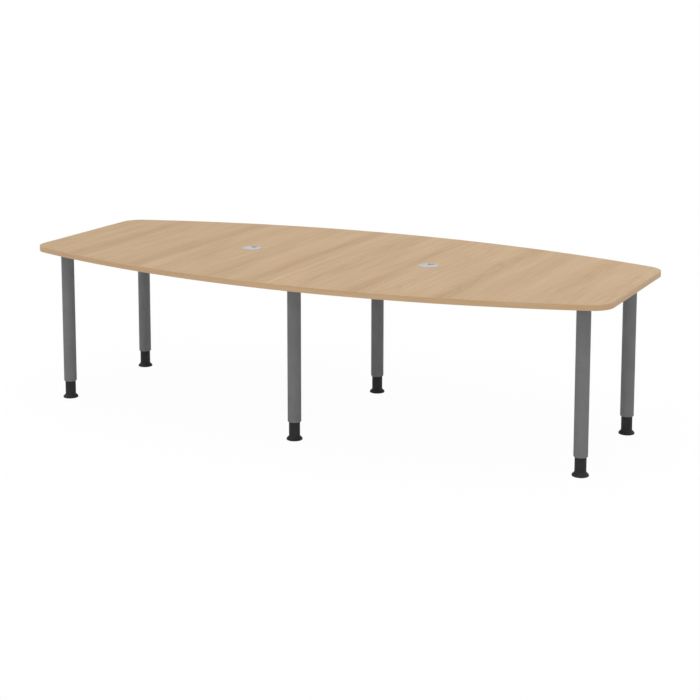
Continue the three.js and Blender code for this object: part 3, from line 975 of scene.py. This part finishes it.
for leg in LEGS:
    tube = turned(
        [
            (TUBE_RADIUS, TUBE_END, 3),
            (TUBE_RADIUS, CLAMP_LEVEL - HOLE_BAND),
            (TUBE_RADIUS, CLAMP_LEVEL + HOLE_BAND),
            (TUBE_RADIUS, TUBE_TOP - WELD, WELD / 2),
            (TUBE_RADIUS + WELD, TUBE_TOP),
            (TUBE_BORE, TUBE_TOP),
            (TUBE_BORE, CLAMP_LEVEL + HOLE_BAND),
            (TUBE_BORE, CLAMP_LEVEL - HOLE_BAND),
            (TUBE_BORE, LIP_TOP),
            (LIP_BORE, LIP_TOP),
            (LIP_BORE, TUBE_END, 0.4),
        ],
        LEG_SIDES,
    )
    drill(tube, CLAMP_HOLE, CLAMP_LEVEL)
    make_piece(tube, f"tube_{leg}", "grey_paint", "table", f"leg_tube_{leg}", leg_places[leg])
print("tubes:", len(LEGS))

# %% [markdown]
# ### Plates and their screws
#
# The plate is a disc with a hole for each of its screws, filled and extruded like the panel. A corner leg
# has three of them, and a middle leg has four, two in each half of the top, so its plate ties the halves
# together. The pan-head screws are turned down to the mouth of the recess in the head. Drawing every second
# quarter of that loop in towards the axis makes it a cross, which is then drawn up into the head and closed.

# %% Mounting plates
PLATE_RADIUS = 65
PLATE_EDGE = 0.8
SCREW_HOLE = 2.45
SCREW_SIDES = 24
leg_screws = {
    leg: [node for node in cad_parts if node.startswith(f"plate_screw_{leg}_")] for leg in LEGS
}

for leg in LEGS:
    leg_x, leg_y = leg_places[leg]
    plate = new_shape()
    level = Matrix.Translation((0, 0, TUBE_TOP))
    bmesh.ops.create_circle(plate, radius=PLATE_RADIUS, segments=LEG_SIDES, matrix=level)
    rim = plate.edges[:]
    for screw in leg_screws[leg]:
        x, y = middle_of(screw)
        hole_place = Matrix.Translation(((x - leg_x) / MM, (y - leg_y) / MM, TUBE_TOP))
        bmesh.ops.create_circle(plate, radius=SCREW_HOLE, segments=SCREW_SIDES, matrix=hole_place)
    bmesh.ops.triangle_fill(plate, use_beauty=True, edges=plate.edges)
    raised = bmesh.ops.extrude_face_region(plate, geom=plate.faces[:])
    bmesh.ops.translate(plate, vec=(0, 0, underside - TUBE_TOP), verts=verts_of(raised["geom"]))
    round_rim(plate, rim, PLATE_EDGE)
    make_piece(plate, f"plate_{leg}", "grey_paint", "table", f"mounting_plate_{leg}", leg_places[leg])
print("plates:", len(LEGS))

# %% Plate screws
HEAD_RADIUS = 4.5
HEAD_BOTTOM = 707
SHANK_RADIUS = 2.25
POINT_START = 726
POINT = 730
RECESS_RADIUS = 2.1
RECESS_DEPTH = 1.7
RECESS_TAPER = 0.7
ARM_HALF = RECESS_RADIUS * math.sin(math.radians(20))
WAIST = 0.42


def plate_screw():
    """A pan-head screw with a cross recess."""
    bm = turned(
        [
            (RECESS_RADIUS, HEAD_BOTTOM),
            (HEAD_RADIUS, HEAD_BOTTOM, 1.6),
            (HEAD_RADIUS, TUBE_TOP),
            (SHANK_RADIUS, TUBE_TOP),
            (SHANK_RADIUS, POINT_START),
            (0, POINT),
        ],
        SCREW_SIDES,
        closed=False,
    )
    mouth = [edge for edge in bm.edges if edge.is_boundary]
    ring = {vert for edge in mouth for vert in edge.verts}
    between = [vert for vert in ring if min(abs(vert.co.x), abs(vert.co.y)) > ARM_HALF]
    bmesh.ops.scale(bm, vec=(WAIST, WAIST, 1), verts=between)
    rim = draw_to_level(bm, mouth, HEAD_BOTTOM + RECESS_DEPTH)
    bmesh.ops.contextual_create(bm, geom=rim)
    bottom_ring = {vert for edge in rim for vert in edge.verts}
    bmesh.ops.scale(bm, vec=(RECESS_TAPER, RECESS_TAPER, 1), verts=list(bottom_ring))
    return bm


all_screws = [screw for leg in LEGS for screw in leg_screws[leg]]
for screw in all_screws:
    name = screw.removeprefix("plate_")
    make_piece(plate_screw(), name, "zinc_steel", "table", screw, middle_of(screw))
print("plate screws:", len(all_screws))

# %% [markdown]
# ### Bushes and clamp screws
#
# A plastic bush inside the rolled end guides the foot, and a small socket screw through the back of the leg
# clamps it. The screw's socket is a hexagon bridged to the turned rim, then drawn in.

# %% Guide bushes
BUSH_RADIUS = 27.8
BUSH_BORE = 24.8
BUSH_BOTTOM = 83
BUSH_TOP = 143

for leg in LEGS:
    bush = turned(
        [
            (BUSH_RADIUS, BUSH_BOTTOM, 0.4),
            (BUSH_RADIUS, CLAMP_LEVEL - HOLE_BAND),
            (BUSH_RADIUS, CLAMP_LEVEL + HOLE_BAND),
            (BUSH_RADIUS, BUSH_TOP, 0.4),
            (BUSH_BORE, BUSH_TOP, 0.8),
            (BUSH_BORE, CLAMP_LEVEL + HOLE_BAND),
            (BUSH_BORE, CLAMP_LEVEL - HOLE_BAND),
            (BUSH_BORE, BUSH_BOTTOM, 0.8),
        ],
        LEG_SIDES,
    )
    drill(bush, CLAMP_HOLE, CLAMP_LEVEL)
    make_piece(bush, f"bush_{leg}", "dark_plastic", "table", f"guide_bush_{leg}", leg_places[leg])
print("bushes:", len(LEGS))

# %% Clamp screws
CLAMP_RADIUS = 3
CLAMP_TIP = 24.8
CLAMP_END = 29.8
SOCKET_RADIUS = 1.732
SOCKET_RIM = 0.5
SOCKET_SIDES = 6
SOCKET_DEPTH = 2.5


def clamp_screw():
    """A socket screw, turned upright and then laid on its side through the back of the leg."""
    bm = turned(
        [
            (0, CLAMP_TIP),
            (CLAMP_RADIUS, CLAMP_TIP, 0.6),
            (CLAMP_RADIUS, CLAMP_END, 0.4),
            (SOCKET_RADIUS + SOCKET_RIM, CLAMP_END),
        ],
        SCREW_SIDES,
        closed=False,
    )
    rim = [edge for edge in bm.edges if edge.is_boundary]
    level = Matrix.Translation((0, 0, CLAMP_END))
    bmesh.ops.create_circle(bm, radius=SOCKET_RADIUS, segments=SOCKET_SIDES, matrix=level)
    hexagon = [edge for edge in bm.edges if edge.is_wire]
    bmesh.ops.bridge_loops(bm, edges=rim + hexagon)
    bmesh.ops.contextual_create(bm, geom=draw_to_level(bm, hexagon, CLAMP_END - SOCKET_DEPTH))
    bmesh.ops.rotate(bm, cent=NO_MOVE, matrix=Matrix.Rotation(-math.pi / 2, 3, "X"), verts=bm.verts)
    bmesh.ops.translate(bm, vec=(0, 0, CLAMP_LEVEL), verts=bm.verts)
    return bm


for leg in LEGS:
    make_piece(clamp_screw(), f"clamp_{leg}", "zinc_steel", "table", f"clamp_screw_{leg}", leg_places[leg])
print("clamp screws:", len(LEGS))

# %% [markdown]
# ## The feet
#
# A foot is one turned piece of black plastic: a base that flares out to the floor, a neck, and a collar that
# runs inside the tube. It rides on its own body, because it slides in the leg to set the height.

# %% Feet
FOOT_RADIUS = 35.5
FOOT_RIM = 5.5
FLARE_TOP = 16.5
NECK_RADIUS = 24.5
COLLAR_RADIUS = 27.7
COLLAR_BOTTOM = 167.5
COLLAR_TOP = 182.5
HOLLOW_RADIUS = 20.5

for leg in LEGS:
    foot = turned(
        [
            (0, 0),
            (FOOT_RADIUS, 0, 1.2),
            (FOOT_RADIUS, FOOT_RIM, 2.6),
            (NECK_RADIUS, FLARE_TOP, 3.2),
            (NECK_RADIUS, COLLAR_BOTTOM),
            (COLLAR_RADIUS, COLLAR_BOTTOM, 0.4),
            (COLLAR_RADIUS, COLLAR_TOP, 0.8),
            (HOLLOW_RADIUS, COLLAR_TOP, 0.8),
            (HOLLOW_RADIUS, FLARE_TOP),
            (0, FLARE_TOP),
        ],
        LEG_SIDES,
        closed=False,
    )
    make_piece(foot, f"glide_{leg}", "black_plastic", f"foot_{leg}", f"foot_{leg}", leg_places[leg])
print("feet:", len(LEGS))
